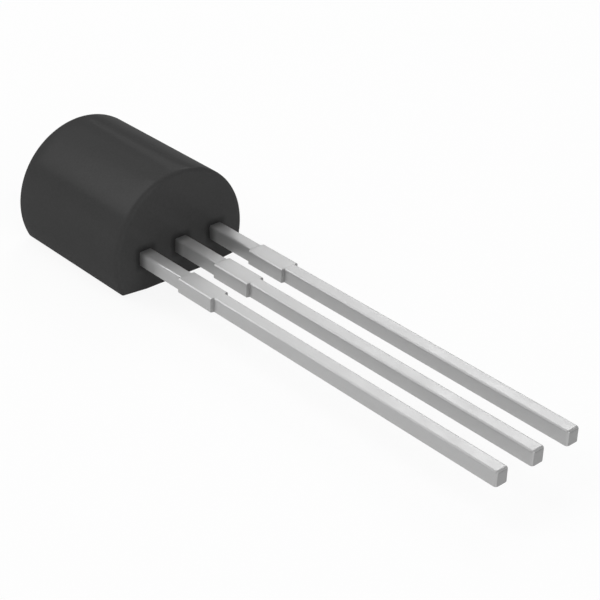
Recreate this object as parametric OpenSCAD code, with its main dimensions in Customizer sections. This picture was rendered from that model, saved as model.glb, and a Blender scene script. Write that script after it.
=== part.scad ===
// Three-lead voltage regulator in a moulded plastic case with a round back and a flat side.
// It lies on its flat side. +X runs along the leads to their tips, +Z from the flat side to
// the round back. The origin is the centre of the flat side. Sizes are in millimetres.

/* [Case] */
// Diameter of the round back
body_dia = 4.6; // [4.45:0.05:5.2]
// Length of the case along the leads
body_len = 4.9; // [4.5:0.05:5.3]
// Distance from the flat side to the axis of the round back
flat_depth = 1.12; // [1:0.02:1.4]
// Radius of the round edge at both ends of the case
edge_r = 0.15; // [0.05:0.01:0.3]
// Width of the level middle of the flat side
flat_mid_w = 2.4; // [1.8:0.1:3]
// Slope of the flat side beyond its level middle, in degrees
flat_slope = 5; // [1:1:8]
// Chamfer along both ends of the flat side
flat_chamfer = 0.12; // [0.05:0.01:0.2]

/* [Leads] */
// Distance between the middles of neighbouring leads
lead_pitch = 1.27; // [1.2:0.01:1.4]
// Width of a lead
lead_w = 0.42; // [0.36:0.01:0.52]
// Thickness of the strip that the leads are stamped from
lead_t = 0.44; // [0.36:0.01:0.52]
// Length of a lead outside the case
lead_len = 13.6; // [12.7:0.1:15.5]
// Broken edge along the leads and round their tips
lead_break = 0.04; // [0.01:0.01:0.08]
// Width of a lead where the dam bar was cut away
dam_w = 0.61; // [0.55:0.01:0.75]
// Distance from the case to the wider dam bar stretch
dam_gap = 1.83; // [1:0.01:2.5]
// Length of the dam bar stretch
dam_len = 1.47; // [1:0.01:2]

/* [Lead frame in the case] */
// Depth in the case at which a bond post starts
post_depth = 0.65; // [0.4:0.05:0.8]
// Length of a bond post
post_len = 0.85; // [0.6:0.05:0.95]
// Width of a bond post
post_w = 0.76; // [0.6:0.02:0.9]
// Gap along X between the bond posts and the die pad
pad_gap = 0.4; // [0.3:0.05:0.5]
// Length of the die pad
pad_len = 2.1; // [1.9:0.05:2.2]
// Width of the die pad
pad_w = 2.2; // [1.8:0.1:2.6]

/* [Die and bond wires] */
// Length of the die along X
die_len = 1.1; // [0.9:0.05:1.2]
// Width of the die
die_w = 1.3; // [1:0.05:1.6]
// Thickness of the die
die_t = 0.25; // [0.15:0.01:0.35]
// Distance from the inner edge of the die pad to the die
die_inset = 0.3; // [0.1:0.05:0.4]
// Thickness of the bond under the die
attach_t = 0.03; // [0.02:0.005:0.05]
// Width of the bond that shows round the die
attach_margin = 0.05; // [0.02:0.01:0.08]
// Diameter of a bond wire
wire_d = 0.04; // [0.03:0.005:0.06]
// Diameter of the ball that holds a wire on the die
ball_d = 0.1; // [0.08:0.01:0.14]
// Height of the ball
ball_h = 0.03; // [0.02:0.005:0.04]
// Distance from the edges of the die to the middle of a ball
ball_inset = 0.14; // [0.1:0.01:0.2]
// Height of the control point that a wire loop is drawn towards, above the die
loop_h = 0.4; // [0.3:0.05:0.5]
// Length of the flattened end of a wire
stitch_len = 0.1; // [0.06:0.01:0.14]
// Thickness of the flattened end at its tip
stitch_t = 0.014; // [0.01:0.002:0.02]
// Width of the flattened end at its tip
stitch_w = 0.08; // [0.06:0.01:0.1]

/* [Hidden] */
$fn = 48;

body_r = body_dia / 2;
exit_x = body_len / 2;
tip_x = exit_x + lead_len;
lead_z = flat_depth;
frame_top = lead_z + lead_t / 2;

post_x = exit_x - post_depth - post_len;
pad_end = post_x - pad_gap;
pad_x = pad_end - pad_len;

die_x = pad_x + die_inset;
die_z = frame_top + attach_t;
die_top = die_z + die_t;

wire_sides = 8;
wire_steps = 16;
// Half the height of a ring over the distance from its middle to its flat underside
ring_flat = cos(180 / wire_sides);
// Share of its span over which a wire comes down level to its stitch
landing = 0.45;

// A rectangle about the origin with its corners cut off at 45 degrees
function broken_rect(w, h, cut) = [
    for (corner = [[1, 1], [-1, 1], [-1, -1], [1, -1]])
        let (first = corner[0] * corner[1] > 0 ? [0, cut] : [cut, 0],
             second = [cut, cut] - first)
        for (inset = [first, second])
            [corner[0] * (w / 2 - inset[0]), corner[1] * (h / 2 - inset[1])]
];

// Solid of the round back with a rounded edge at both ends, along X
module round_back() {
    rotate([0, 90, 0]) rotate_extrude() {
        translate([0, -body_len / 2]) square([body_r - edge_r, body_len]);
        translate([0, edge_r - body_len / 2]) square([body_r, body_len - 2 * edge_r]);
        for (end = [-1, 1])
            translate([body_r - edge_r, end * (body_len / 2 - edge_r)]) intersection() {
                circle(edge_r);
                translate([0, end < 0 ? -edge_r : 0]) square(edge_r);
            }
    }
}

// What lies beyond one level face and its two chamfered ends
module beyond_face() {
    rotate([90, 0, 0]) linear_extrude(2 * body_dia, center = true) polygon([
        [-body_len, flat_chamfer + exit_x],
        [-exit_x + flat_chamfer, 0],
        [exit_x - flat_chamfer, 0],
        [body_len, flat_chamfer + exit_x],
        [body_len, -body_dia],
        [-body_len, -body_dia]
    ]);
}

// The case as a full solid: a round back, a level flat and its two sloping sides
module case_form() {
    difference() {
        translate([0, 0, flat_depth]) round_back();
        beyond_face();
        for (side = [-1, 1])
            translate([0, side * flat_mid_w / 2, 0]) rotate([side * flat_slope, 0, 0]) beyond_face();
    }
}

// A stretch of the stamped strip from x0 to x1
module strip(x0, x1, width) {
    translate([x0, 0, lead_z]) rotate([90, 0, 90])
        linear_extrude(x1 - x0) polygon(broken_rect(width, lead_t, lead_break));
}

// Cuts that break the four edges of a lead's tip
module tip_cuts() {
    for (turn = [0 : 3])
        translate([tip_x, 0, lead_z]) rotate([90 * turn, 0, 0])
            translate([0, 0, (turn % 2 == 0 ? lead_t : lead_w) / 2 - lead_break])
                rotate([0, 45, 0]) translate([-lead_t, -lead_t, 0]) cube(2 * lead_t);
}

// One lead in the middle of the row, with its root at root_x in the case
module lead(root_x) {
    difference() {
        union() {
            strip(root_x, tip_x, lead_w);
            strip(exit_x + dam_gap, exit_x + dam_gap + dam_len, dam_w);
        }
        tip_cuts();
    }
}

// A lead whose inner end is a bond post
module post_lead() {
    color("silver") {
        lead(exit_x - post_depth);
        strip(post_x, exit_x - post_depth, post_w);
    }
}

module output_lead() {
    translate([0, lead_pitch, 0]) post_lead();
}

module input_lead() {
    translate([0, -lead_pitch, 0]) post_lead();
}

// The middle lead, whose inner end carries the die
module ground_lead() {
    color("silver") {
        lead(pad_end);
        strip(pad_x, pad_end, pad_w);
    }
}

module die_attach() {
    color("gainsboro")
        translate([die_x - attach_margin, -die_w / 2 - attach_margin, frame_top])
            cube([die_len + 2 * attach_margin, die_w + 2 * attach_margin, attach_t]);
}

module die() {
    color("slategray") translate([die_x, -die_w / 2, die_z]) cube([die_len, die_w, die_t]);
}

function bezier(a, b, c, d, t) =
    pow(1 - t, 3) * a + 3 * t * pow(1 - t, 2) * b + 3 * t * t * (1 - t) * c + pow(t, 3) * d;

// Points of one ring of a wire in the plane XZ, square to the wire's slope there
function ring(middle, slope, height, width) = [
    for (k = [0 : wire_sides - 1])
        let (a = (k + 0.5) * 360 / wire_sides, up = height / 2 * cos(a))
            [middle[0] - up * sin(slope), width / 2 * sin(a), middle[1] + up * cos(slope)]
];

// Middle of the wire, from the ball at [0, 0] to its level landing at [span, -drop]
function wire_point(span, drop, t) =
    bezier([0, 0], [0, loop_h], [span * (1 - landing), -drop], [span, -drop], t);

function wire_slope(span, drop, t) =
    let (step = 1 / (4 * wire_steps),
         run = wire_point(span, drop, min(1, t + step)) - wire_point(span, drop, max(0, t - step)))
    atan2(run[1], run[0]);

// A bond wire that rises from a ball on the die and lands flat at a stitch
module bond_wire(from, to, landing_z) {
    run = to - from;
    span = norm(run);
    foot = die_top + ball_h / 2;
    drop = foot - landing_z - wire_d / 2 * ring_flat;
    rings = concat(
        [for (i = [0 : wire_steps])
            let (t = i / wire_steps)
                ring(wire_point(span, drop, t), i == 0 ? 90 : wire_slope(span, drop, t), wire_d, wire_d)],
        [ring([span + stitch_len, landing_z - foot + stitch_t / 2 * ring_flat], 0, stitch_t, stitch_w)]
    );
    last = len(rings) - 1;
    color("gold") {
        translate([from[0], from[1], die_top]) cylinder(d = ball_d, h = ball_h);
        translate([from[0], from[1], foot]) rotate([0, 0, atan2(run[1], run[0])]) polyhedron(
            points = [for (r = rings) each r],
            faces = concat(
                [[for (k = [0 : wire_sides - 1]) k]],
                [for (i = [0 : last - 1], k = [0 : wire_sides - 1])
                    let (next = (k + 1) % wire_sides, a = i * wire_sides, b = a + wire_sides)
                        [a + k, b + k, b + next, a + next]],
                [[for (k = [wire_sides - 1 : -1 : 0]) last * wire_sides + k]]
            )
        );
    }
}

// Place of a ball on the die: side is -1 or 1 for the outer ones and 0 for the middle one
function ball_at(side) = [die_x + die_len - ball_inset, side * (die_w / 2 - ball_inset)];

module output_bond_wire() {
    bond_wire(ball_at(1), [post_x + post_len / 2, lead_pitch], frame_top);
}

module input_bond_wire() {
    bond_wire(ball_at(-1), [post_x + post_len / 2, -lead_pitch], frame_top);
}

// The ground wire lands on the free strip of the pad between the die and the middle lead
module ground_bond_wire() {
    bond_wire(ball_at(0), [pad_end - stitch_len - 2 * lead_break, 0], frame_top);
}

// The case, moulded round the lead frame, the die and the wires
module moulded_body() {
    color("dimgray") difference() {
        case_form();
        output_lead();
        ground_lead();
        input_lead();
        die_attach();
        die();
        output_bond_wire();
        ground_bond_wire();
        input_bond_wire();
    }
}

moulded_body();
output_lead();
ground_lead();
input_lead();
die_attach();
die();
output_bond_wire();
ground_bond_wire();
input_bond_wire();
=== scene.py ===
"""A small voltage regulator in a black moulded case with three tin-plated leads.

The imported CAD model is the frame: +X along the leads, +Z from the flat side to the round back,
in metres. The case and the leads are remade here with their true edge rounding, and the sealed
inner pieces keep their CAD meshes and get their finishes.
"""
import math

import bmesh
import bpy
from mathutils import Matrix, Quaternion, Vector


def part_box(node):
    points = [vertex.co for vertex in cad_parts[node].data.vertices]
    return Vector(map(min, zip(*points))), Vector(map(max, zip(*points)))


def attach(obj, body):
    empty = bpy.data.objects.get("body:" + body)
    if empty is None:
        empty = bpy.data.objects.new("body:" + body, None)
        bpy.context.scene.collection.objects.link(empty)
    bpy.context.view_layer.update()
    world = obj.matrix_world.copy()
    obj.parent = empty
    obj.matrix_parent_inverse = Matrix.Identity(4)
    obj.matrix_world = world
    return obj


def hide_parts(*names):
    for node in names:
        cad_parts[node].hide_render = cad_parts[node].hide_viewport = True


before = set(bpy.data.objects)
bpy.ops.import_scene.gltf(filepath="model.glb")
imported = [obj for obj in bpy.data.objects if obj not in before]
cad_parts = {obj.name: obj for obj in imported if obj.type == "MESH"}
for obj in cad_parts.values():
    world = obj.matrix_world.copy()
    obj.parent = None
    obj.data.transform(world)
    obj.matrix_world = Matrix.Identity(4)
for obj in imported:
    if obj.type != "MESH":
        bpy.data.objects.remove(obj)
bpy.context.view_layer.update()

MM = 0.001

# ---------------------------------------------------------------- sizes, in mm
case_low, case_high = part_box("moulded_body")
CASE_R = (case_high.y - case_low.y) / 2 / MM
CASE_HALF = (case_high.x - case_low.x) / 2 / MM
CASE_TOP = case_high.z / MM
AXIS_Z = CASE_TOP - CASE_R
LEAD_H = (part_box("ground_lead")[1].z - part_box("ground_lead")[0].z) / MM
FLAT_HALF = 1.2
FLAT_SLOPE = math.radians(5)
# Rounds on the edges of the end faces, and on the long edges of the flat side
END_EDGE = 0.15
LONG_EDGE = 0.03

LEAD_W = 0.42
LEAD_PITCH = 1.27
TOP_ROUND = 0.06
BOTTOM_ROUND = 0.02
# The round at a lead's tip, and the share of it that the lower edge gets
TIP_ROUND = 0.09
TIP_UNDERCUT = 0.25
# Rings from a lead's root to the end of its dam stretch, which all keep a crisp edge
STEP_RINGS = 7
# Faces whose normals have more X than this are the shear-cut faces, and are greyer: partly bare cut
# metal, partly painted shade for these end-on faces
CUT_END_SHADED_FACING = 0.75
# The wider stretch where the dam bar was cut: width, distance from the case, length, run of its steps
DAM_W = 0.61
DAM_GAP = 1.83
DAM_LEN = 1.47
STEP_RUN = 0.03
# The wide roots: the bond posts end this far inside the case's end face, and the die pad ends this far
# short of the posts
POST_COVER = 0.65
PAD_GAP = 0.4
# How far the painted shade reaches around each lead's exit, on the case's end face and along the tin,
# from where a lead leaves the case
EXIT_SHADE_REACH = 0.25
TIN_EXIT_SHADE_REACH = 0.4
# Edges that bend by more than this stay crisp in the case's shading
SHARP_ANGLE = math.radians(30)

# ---------------------------------------------------------------- finishes, as linear greys
MOULDING_DARK = 0.0475
MOULDING_PALE = 0.0515
MOULDING_BROAD = 0.054
MOULDING_EXIT_SHADE = 0.012
MOULDING_COAT = 0.078
MOULDING_COAT_ROUGHNESS = 0.17
TIN_TONE = 0.485
CUT_END_SHADED_TONE = 0.315
TIN_EXIT_SHADE = 0.06
TIN_METALLIC = 0.36
TIN_ROUGHNESS = 0.35

# ---------------------------------------------------------------- floor, dome and lamps
# Share of the floor that shows as plain white to the camera and in reflections
FLOOR_GLOW = 0.9
FLOOR_HALF = 600
FLOOR_GAP = 0.01
DOME_HORIZON = 0.95
DOME_TOP = 0.2
# Sine of the elevation at which the bright horizon has faded out
DOME_SWEEP = 0.26
LAMP_DISTANCE = 300
LAMP_AIM = Vector((4, 0, 1))
# Name, azimuth, elevation, width, height and roll in degrees, then radiance
LAMPS = (
    ("rear_softbox", -148, 36, 20, 18, 0, 4.05),
    ("rear_fill", -132, 28, 14, 16, 0, 1.5),
    ("top_softbox", -95, 56, 70, 40, 0, 0.95),
    ("left_softbox", -66, 43, 46, 15, -38, 3.2),
    ("right_softbox", 80, 35, 40, 40, 0, 2.5),
    ("front_fill", -40, 38, 40, 30, 0, 1.15),
)

# ---------------------------------------------------------------- camera, in degrees and mm
CAMERA_AZIMUTH = 47.262
CAMERA_ELEVATION = 30.447
CAMERA_ROLL = 1.725
CAMERA_DISTANCE = 44.544
CAMERA_TARGET = Vector((7.506, 0.059, 1.506))
CAMERA_LENS = 99.8


# ---------------------------------------------------------------- node helpers
class Nodes:
    """A material's node tree, with a short way to add and link nodes."""

    def __init__(self, name):
        self.material = bpy.data.materials.new(name)
        self.material.use_nodes = True
        self.tree = self.material.node_tree
        self.tree.nodes.clear()
        self.out = self.add("ShaderNodeOutputMaterial")

    def add(self, kind, inputs=None, **settings):
        node = self.tree.nodes.new(kind)
        for key, value in settings.items():
            setattr(node, key, value)
        for key, value in (inputs or {}).items():
            self.set(node, key, value)
        return node

    def set(self, node, key, value):
        socket = node.inputs[key]
        if isinstance(value, bpy.types.NodeSocket):
            self.tree.links.new(value, socket)
        else:
            socket.default_value = value

    def position(self):
        return self.add("ShaderNodeNewGeometry").outputs["Position"]

    def stretched(self, scale):
        """Positions in mm, scaled by axis, so that noise can run along a direction."""
        return self.add(
            "ShaderNodeMapping",
            {"Vector": self.position(), "Scale": tuple(s / MM for s in scale)},
        ).outputs["Vector"]

    def noise(self, vector, detail=3.0, roughness=0.55):
        return self.add(
            "ShaderNodeTexNoise",
            {"Vector": vector, "Scale": 1.0, "Detail": detail, "Roughness": roughness},
        ).outputs["Fac"]

    def ramp(self, value, low, high, to_low, to_high):
        return self.add(
            "ShaderNodeMapRange",
            {"Value": value, "From Min": low, "From Max": high, "To Min": to_low, "To Max": to_high},
        ).outputs["Result"]

    def math(self, operation, a, b=0.0):
        node = self.add("ShaderNodeMath", {0: a, 1: b}, operation=operation)
        return node.outputs[0]

    def places(self):
        """The three coordinates of the shaded point, in mm."""
        split = self.add("ShaderNodeSeparateXYZ", {"Vector": self.stretched((1, 1, 1))})
        return split.outputs[0], split.outputs[1], split.outputs[2]

    def fade(self, value, low, high, to_low, to_high):
        """Like ramp, but it eases in and out."""
        return self.add(
            "ShaderNodeMapRange",
            {"Value": value, "From Min": low, "From Max": high, "To Min": to_low, "To Max": to_high},
            interpolation_type="SMOOTHSTEP",
        ).outputs["Result"]

    def mix(self, factor, a, b):
        node = self.add("ShaderNodeMix", data_type="RGBA")
        self.set(node, "Factor", factor)
        self.set(node, 6, a)
        self.set(node, 7, b)
        return node.outputs[2]

    def bump(self, height, distance, strength, normal=None):
        node = self.add("ShaderNodeBump", {"Height": height, "Distance": distance, "Strength": strength})
        if normal is not None:
            self.set(node, "Normal", normal)
        return node.outputs["Normal"]


def grey(value):
    return (value, value, value, 1.0)


# ---------------------------------------------------------------- materials
def lead_exit_shade(n):
    """Mask of the painted shade around the leads' exits: 1 at the exits on the case's end face, fading to
    0 around them.
    """
    x, y, z = n.places()
    held = n.ramp(y, -LEAD_PITCH, LEAD_PITCH, -LEAD_PITCH, LEAD_PITCH)
    middle = n.math("SNAP", n.math("ADD", held, LEAD_PITCH / 2), LEAD_PITCH)
    across = n.math("ABSOLUTE", n.math("SUBTRACT", y, middle))
    up = n.math("ABSOLUTE", n.math("SUBTRACT", z, AXIS_Z))
    gap_y = n.math("MAXIMUM", n.math("SUBTRACT", across, LEAD_W / 2), 0.0)
    gap_z = n.math("MAXIMUM", n.math("SUBTRACT", up, LEAD_H / 2), 0.0)
    gap = n.math("SQRT", n.math("ADD", n.math("POWER", gap_y, 2.0), n.math("POWER", gap_z, 2.0)))
    on_end = n.math("GREATER_THAN", x, CASE_HALF - END_EDGE)
    return n.math("MULTIPLY", n.fade(gap, 0.0, EXIT_SHADE_REACH, 1.0, 0.0), on_end)


def moulding_material():
    """Matte black moulding compound: a spark-eroded mould's fine grain, with faint filler flecks."""
    n = Nodes("moulding_compound")
    broad = n.noise(n.stretched((0.9, 0.9, 0.9)), 2.0)
    fine = n.noise(n.stretched((14, 14, 14)), 3.0)
    tone = n.mix(n.ramp(fine, 0.35, 0.65, 0, 1), grey(MOULDING_DARK), grey(MOULDING_PALE))
    tone = n.mix(n.ramp(broad, 0.3, 0.7, 0, 0.35), tone, grey(MOULDING_BROAD))
    # Painted shade: the end face darkens around each lead's exit, where the leads shade it
    tone = n.mix(n.math("MULTIPLY", lead_exit_shade(n), 0.6), tone, grey(MOULDING_EXIT_SHADE))
    shader = n.add(
        "ShaderNodeBsdfPrincipled",
        {
            "Base Color": tone,
            "Roughness": n.ramp(fine, 0.3, 0.7, 0.66, 0.76),
            "Specular IOR Level": 0.0,
            "Coat Weight": MOULDING_COAT,
            "Coat Roughness": MOULDING_COAT_ROUGHNESS,
            "Normal": n.bump(fine, 0.004 * MM, 0.35),
        },
    )
    n.set(n.out, "Surface", shader.outputs[0])
    return n.material


def tin_material(name, tone):
    """Matte tin plate: soft mottling, faint lines along the strip, and painted shade near the case."""
    n = Nodes(name)
    mottle = n.noise(n.stretched((1.2, 3, 3)), 3.0)
    lines = n.noise(n.stretched((0.35, 22, 22)), 2.0)
    grain = n.noise(n.stretched((30, 30, 30)), 2.0)
    colour = n.mix(n.ramp(mottle, 0.3, 0.7, 0, 1), grey(tone * 0.98), grey(tone * 1.02))
    colour = n.mix(n.ramp(lines, 0.35, 0.65, 0, 0.12), colour, grey(tone * 0.93))
    # Painted shade: the tin darkens towards the case's end face, where the case shades the lead roots
    exit_shade = n.fade(n.places()[0], CASE_HALF, CASE_HALF + TIN_EXIT_SHADE_REACH, 0.7, 0.0)
    colour = n.mix(exit_shade, colour, grey(TIN_EXIT_SHADE))
    shader = n.add(
        "ShaderNodeBsdfPrincipled",
        {
            "Base Color": colour,
            "Metallic": TIN_METALLIC,
            "Specular IOR Level": 0.0,
            "Roughness": n.ramp(mottle, 0.3, 0.7, TIN_ROUGHNESS - 0.04, TIN_ROUGHNESS + 0.04),
            "Normal": n.bump(grain, 0.001 * MM, 0.15, n.bump(lines, 0.001 * MM, 0.1)),
        },
    )
    n.set(n.out, "Surface", shader.outputs[0])
    return n.material


def plain_metal(name, colour, roughness, scale):
    """Finish of the sealed pieces: fine noise in colour and roughness."""
    n = Nodes(name)
    fine = n.noise(n.stretched((scale,) * 3))
    dark = tuple(c * 0.85 for c in colour[:3]) + (1.0,)
    shader = n.add(
        "ShaderNodeBsdfPrincipled",
        {
            "Base Color": n.mix(n.ramp(fine, 0.3, 0.7, 0, 1), dark, colour),
            "Metallic": 1.0,
            "Roughness": n.ramp(fine, 0.3, 0.7, roughness, roughness + 0.1),
        },
    )
    n.set(n.out, "Surface", shader.outputs[0])
    return n.material


# ---------------------------------------------------------------- mesh helpers
def make_object(name, bm, materials, smooth=True):
    mesh = bpy.data.meshes.new(name)
    bm.to_mesh(mesh)
    bm.free()
    for polygon in mesh.polygons:
        polygon.use_smooth = smooth
    for material in materials:
        mesh.materials.append(material)
    obj = bpy.data.objects.new(name, mesh)
    bpy.context.scene.collection.objects.link(obj)
    return obj


def weigh_normals(obj):
    """Keeps wide flat faces flat in the shading, with the bend left to their narrow rounds."""
    modifier = obj.modifiers.new("weighted_normals", "WEIGHTED_NORMAL")
    modifier.mode = "FACE_AREA"
    modifier.weight = 100
    modifier.keep_sharp = True


# ---------------------------------------------------------------- the case
def case_core(inset, arc_steps=112, facet_steps=6, corner_steps=5):
    """Outline of the case moved in by inset, as (point, outward angle) pairs in the plane YZ.

    Corners are fans of angles at one point, so that a ball rolled along the outline rounds them.
    """
    radius = CASE_R - inset
    centre = Vector((0.0, AXIS_Z))
    level = inset
    # The sloping facet's line: through (FLAT_HALF, 0), moved in by inset
    normal = Vector((math.sin(FLAT_SLOPE), -math.cos(FLAT_SLOPE)))
    offset = normal.dot(Vector((FLAT_HALF, 0))) - inset
    # Where that line meets the circle and the level facet
    depth = offset - normal.dot(centre)
    along = Vector((math.cos(FLAT_SLOPE), math.sin(FLAT_SLOPE)))
    foot = centre + normal * depth
    corner = foot + along * math.sqrt(radius ** 2 - depth ** 2)
    knee_y = (offset + math.cos(FLAT_SLOPE) * level) / math.sin(FLAT_SLOPE)
    knee = Vector((knee_y, level))

    start = math.atan2(corner.y - centre.y, corner.x - centre.x)
    facet_angle = -math.pi / 2 + FLAT_SLOPE
    right = []
    for i in range(facet_steps + 1):
        right.append((knee.lerp(corner, i / facet_steps), facet_angle))
    for i in range(1, corner_steps):
        right.append((corner, facet_angle + (start - facet_angle) * i / corner_steps))

    left = [(Vector((-p.x, p.y)), math.pi - a) for p, a in reversed(right)]
    arc = []
    for i in range(arc_steps + 1):
        a = start + (math.pi - 2 * start) * i / arc_steps
        arc.append((centre + Vector((math.cos(a), math.sin(a))) * radius, a))
    floor = []
    for i in range(1, 2 * facet_steps):
        floor.append((Vector((-knee.x, level)).lerp(knee, i / (2 * facet_steps)), 1.5 * math.pi))
    return right + arc + left + [(Vector((-knee.x, level)), 1.5 * math.pi)] + floor + [
        (knee, -math.pi / 2)
    ]


def case_mesh(materials):
    """The case's outline swept along X: rounded ends, and small rounds on the long edges."""
    profile = []
    round_steps = 6
    for i in range(round_steps + 1):
        turn = math.pi / 2 * i / round_steps
        profile.append((-CASE_HALF + END_EDGE * (1 - math.cos(turn)), END_EDGE * (1 - math.sin(turn))))
    length_steps = 12
    inner = CASE_HALF - END_EDGE
    for i in range(1, length_steps):
        profile.append((-inner + 2 * inner * i / length_steps, 0.0))
    profile += [(-x, inset) for x, inset in reversed(profile[: round_steps + 1])]

    bm = bmesh.new()
    rings = []
    for x, inset in profile:
        ball = max(0.0, LONG_EDGE - inset)
        ring = []
        for point, angle in case_core(max(inset, LONG_EDGE)):
            y = point.x + ball * math.cos(angle)
            z = point.y + ball * math.sin(angle)
            ring.append(bm.verts.new((x * MM, y * MM, z * MM)))
        rings.append(ring)
    count = len(rings[0])
    for a, b in zip(rings, rings[1:]):
        for k in range(count):
            nxt = (k + 1) % count
            bm.faces.new((a[k], a[nxt], b[nxt], b[k]))
    bm.faces.new(list(reversed(rings[0])))
    bm.faces.new(rings[-1])
    bmesh.ops.remove_doubles(bm, verts=bm.verts, dist=1e-8)
    bmesh.ops.dissolve_degenerate(bm, edges=bm.edges, dist=1e-9)
    bmesh.ops.recalc_face_normals(bm, faces=bm.faces)
    obj = make_object("case_shell", bm, materials)
    obj.data.set_sharp_from_angle(angle=SHARP_ANGLE)
    weigh_normals(obj)
    return obj


# ---------------------------------------------------------------- the leads
def strip_ring(x, half, low_z, high_z, inset=0.0, corner_steps=5):
    """Section of a stamped strip at x: upper edges rolled over, lower ones crisp, moved in by inset."""
    corners = (
        (half - inset, high_z - inset, max(TOP_ROUND - inset, BOTTOM_ROUND), 0.0),
        (inset - half, high_z - inset, max(TOP_ROUND - inset, BOTTOM_ROUND), math.pi / 2),
        (inset - half, low_z + inset * TIP_UNDERCUT, BOTTOM_ROUND, math.pi),
        (half - inset, low_z + inset * TIP_UNDERCUT, BOTTOM_ROUND, 1.5 * math.pi),
    )
    ring = []
    for y, z, radius, start in corners:
        centre_y = y - math.copysign(radius, y)
        centre_z = z - math.copysign(radius, z - AXIS_Z)
        for i in range(corner_steps + 1):
            angle = start + math.pi / 2 * i / corner_steps
            ring.append((x, centre_y + radius * math.cos(angle), centre_z + radius * math.sin(angle)))
    return ring


def lead_stations(low_x, high_x, root_half, root_end, round_steps=5):
    """Stretches of a lead from root to tip, as (x, half width, inset) in mm."""
    half = LEAD_W / 2
    wide = DAM_W / 2
    start = CASE_HALF + DAM_GAP
    end = start + DAM_LEN
    stations = [
        (low_x, root_half, 0.0),
        (root_end, root_half, 0.0),
        (root_end, half, 0.0),
        (start, half, 0.0),
        (start + STEP_RUN, wide, 0.0),
        (end - STEP_RUN, wide, 0.0),
        (end, half, 0.0),
    ]
    for i in range(round_steps + 1):
        turn = math.pi / 2 * i / round_steps
        x = high_x - TIP_ROUND * (1 - math.sin(turn))
        stations.append((x, half, TIP_ROUND * (1 - math.cos(turn))))
    return stations


def lead_mesh(name, node, root_end, materials):
    """A lead stamped from strip, from its root in the case to its tip."""
    low, high = (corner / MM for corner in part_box(node))
    middle = (low.y + high.y) / 2
    bm = bmesh.new()
    rings = []
    for x, half, inset in lead_stations(low.x, high.x, (high.y - low.y) / 2, root_end):
        ring = strip_ring(x, half, low.z, high.z, inset)
        rings.append([bm.verts.new((x * MM, (middle + y) * MM, z * MM)) for x, y, z in ring])
    count = len(rings[0])
    for a, b in zip(rings, rings[1:]):
        for k in range(count):
            nxt = (k + 1) % count
            bm.faces.new((a[k], a[nxt], b[nxt], b[k]))
    for ring in rings[:STEP_RINGS]:
        for k in range(count):
            bm.edges.get((ring[k], ring[(k + 1) % count])).smooth = False
    bm.faces.new(rings[0])
    bm.faces.new(rings[-1])
    bmesh.ops.recalc_face_normals(bm, faces=bm.faces)
    for face in bm.faces:
        # Faces along X get the greyer copy of the tin: bare cut metal, with painted shade on these end-on
        # faces as well
        face.material_index = int(abs(face.normal.x) > CUT_END_SHADED_FACING)
    obj = make_object(name, bm, materials)
    weigh_normals(obj)
    return obj


# ---------------------------------------------------------------- stage
def floor_material():
    """Pale paper, mostly plain white to the camera and in gloss, with its shadows kept."""
    n = Nodes("floor_paper")
    fine = n.noise(n.stretched((0.4, 0.4, 0.4)))
    diffuse = n.add("ShaderNodeBsdfDiffuse", {"Color": n.mix(fine, grey(0.93), grey(0.96))})
    glow = n.add("ShaderNodeEmission", {"Color": grey(1.0), "Strength": 1.0})
    light = n.add("ShaderNodeLightPath")
    seen = n.math("MAXIMUM", light.outputs["Is Camera Ray"], light.outputs["Is Glossy Ray"])
    seen = n.math("MAXIMUM", seen, light.outputs["Is Transmission Ray"])
    share = n.math("MULTIPLY", seen, FLOOR_GLOW)
    both = n.add("ShaderNodeMixShader", {0: share, 1: diffuse.outputs[0], 2: glow.outputs[0]})
    n.set(n.out, "Surface", both.outputs[0])
    return n.material


def make_floor():
    """A level floor under the flat side, a hair below it so that the two never coincide."""
    bm = bmesh.new()
    bmesh.ops.create_grid(bm, x_segments=8, y_segments=8, size=FLOOR_HALF * MM)
    obj = make_object("floor", bm, [floor_material()], smooth=False)
    obj.matrix_world = Matrix.Translation((0, 0, -FLOOR_GAP * MM))


def make_world():
    """A plain pale dome that is bright at the horizon, like the sweep behind a studio table."""
    world = bpy.data.worlds.new("studio_dome")
    bpy.context.scene.world = world
    world.use_nodes = True
    tree = world.node_tree
    tree.nodes.clear()
    out = tree.nodes.new("ShaderNodeOutputWorld")
    back = tree.nodes.new("ShaderNodeBackground")
    coords = tree.nodes.new("ShaderNodeTexCoord")
    split = tree.nodes.new("ShaderNodeSeparateXYZ")
    rise = tree.nodes.new("ShaderNodeMapRange")
    rise.interpolation_type = "SMOOTHSTEP"
    rise.inputs["From Min"].default_value = 0.0
    rise.inputs["From Max"].default_value = DOME_SWEEP
    rise.inputs["To Min"].default_value = DOME_HORIZON
    rise.inputs["To Max"].default_value = DOME_TOP
    back.inputs["Color"].default_value = grey(1.0)
    tree.links.new(coords.outputs["Generated"], split.inputs[0])
    tree.links.new(split.outputs["Z"], rise.inputs["Value"])
    tree.links.new(rise.outputs["Result"], back.inputs["Strength"])
    tree.links.new(back.outputs[0], out.inputs["Surface"])


def direction(azimuth, elevation):
    """Unit vector from the object towards a view angle of the frame's kind."""
    a, e = math.radians(azimuth), math.radians(elevation)
    return Vector((math.sin(a) * math.cos(e), -math.cos(a) * math.cos(e), math.sin(e)))


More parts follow.
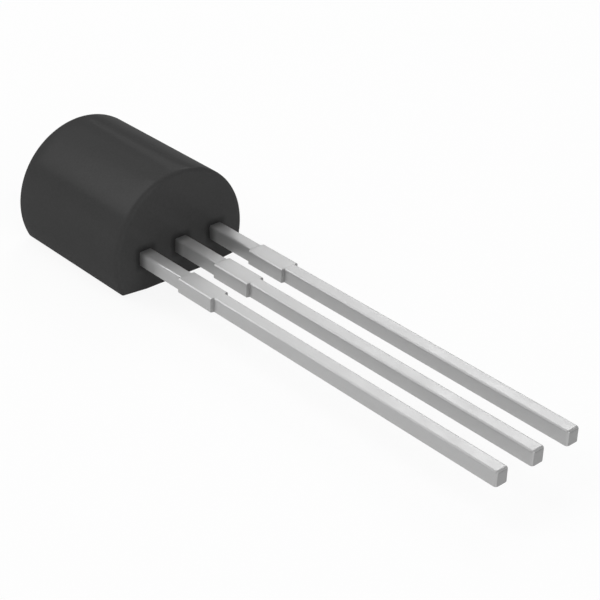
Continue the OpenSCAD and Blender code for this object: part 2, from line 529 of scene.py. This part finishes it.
def softbox(name, azimuth, elevation, width, height, roll, radiance):
    """A far rectangular lamp that faces the object. Its size is in degrees as seen from there."""
    across = 2 * LAMP_DISTANCE * math.tan(math.radians(width / 2))
    tall = 2 * LAMP_DISTANCE * math.tan(math.radians(height / 2))
    data = bpy.data.lights.new(name, "AREA")
    data.shape = "RECTANGLE"
    data.size = across * MM
    data.size_y = tall * MM
    data.energy = radiance * math.pi * across * tall * MM * MM
    lamp = bpy.data.objects.new(name, data)
    back = direction(azimuth, elevation)
    lamp.location = LAMP_AIM * MM + back * LAMP_DISTANCE * MM
    lamp.rotation_mode = "QUATERNION"
    face = (-back).to_track_quat("-Z", "Y")
    lamp.rotation_quaternion = face @ Quaternion((0, 0, 1), math.radians(roll))
    bpy.context.scene.collection.objects.link(lamp)


def make_lights():
    for lamp in LAMPS:
        softbox(*lamp)


def make_camera():
    data = bpy.data.cameras.new("camera")
    data.sensor_width = 36
    data.lens = CAMERA_LENS
    data.clip_start = 1 * MM
    data.clip_end = 10
    camera = bpy.data.objects.new("camera", data)
    back = direction(CAMERA_AZIMUTH, CAMERA_ELEVATION)
    level_right = Vector((0, 0, 1)).cross(back).normalized()
    level_up = back.cross(level_right)
    roll = math.radians(CAMERA_ROLL)
    c, s = math.cos(roll), math.sin(roll)
    right = c * level_right + s * level_up
    up = -s * level_right + c * level_up
    turn = Matrix((right, up, back)).transposed().to_4x4()
    camera.matrix_world = Matrix.Translation((CAMERA_TARGET + back * CAMERA_DISTANCE) * MM) @ turn
    bpy.context.scene.collection.objects.link(camera)
    bpy.context.scene.camera = camera


# ---------------------------------------------------------------- assembly
def dress_inner_pieces():
    gold = plain_metal("bond_gold", (0.95, 0.7, 0.3, 1.0), 0.2, 60)
    silicon = plain_metal("polished_silicon", (0.2, 0.22, 0.26, 1.0), 0.15, 8)
    silver = plain_metal("silver_bond", (0.62, 0.62, 0.6, 1.0), 0.5, 25)
    finishes = {
        "die": silicon,
        "die_attach": silver,
        "output_bond_wire": gold,
        "ground_bond_wire": gold,
        "input_bond_wire": gold,
    }
    for node, material in finishes.items():
        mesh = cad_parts[node].data
        mesh.materials.clear()
        mesh.materials.append(material)


def make_part():
    moulding = moulding_material()
    tin = tin_material("tin_plate", TIN_TONE)
    cut_and_shaded = tin_material("cut_end_painted_shade", CUT_END_SHADED_TONE)

    case = case_mesh([moulding])
    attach(case, "root")
    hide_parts("moulded_body")

    post_end = CASE_HALF - POST_COVER
    pad_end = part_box("output_lead")[0].x / MM - PAD_GAP
    for node, root_end in (("output_lead", post_end), ("ground_lead", pad_end), ("input_lead", post_end)):
        lead = lead_mesh(node + "_strip", node, root_end, [tin, cut_and_shaded])
        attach(lead, "root")
        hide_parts(node)
    dress_inner_pieces()


make_camera()
make_part()
make_floor()
make_world()
make_lights()

scene = bpy.context.scene
scene.view_settings.view_transform = "Standard"
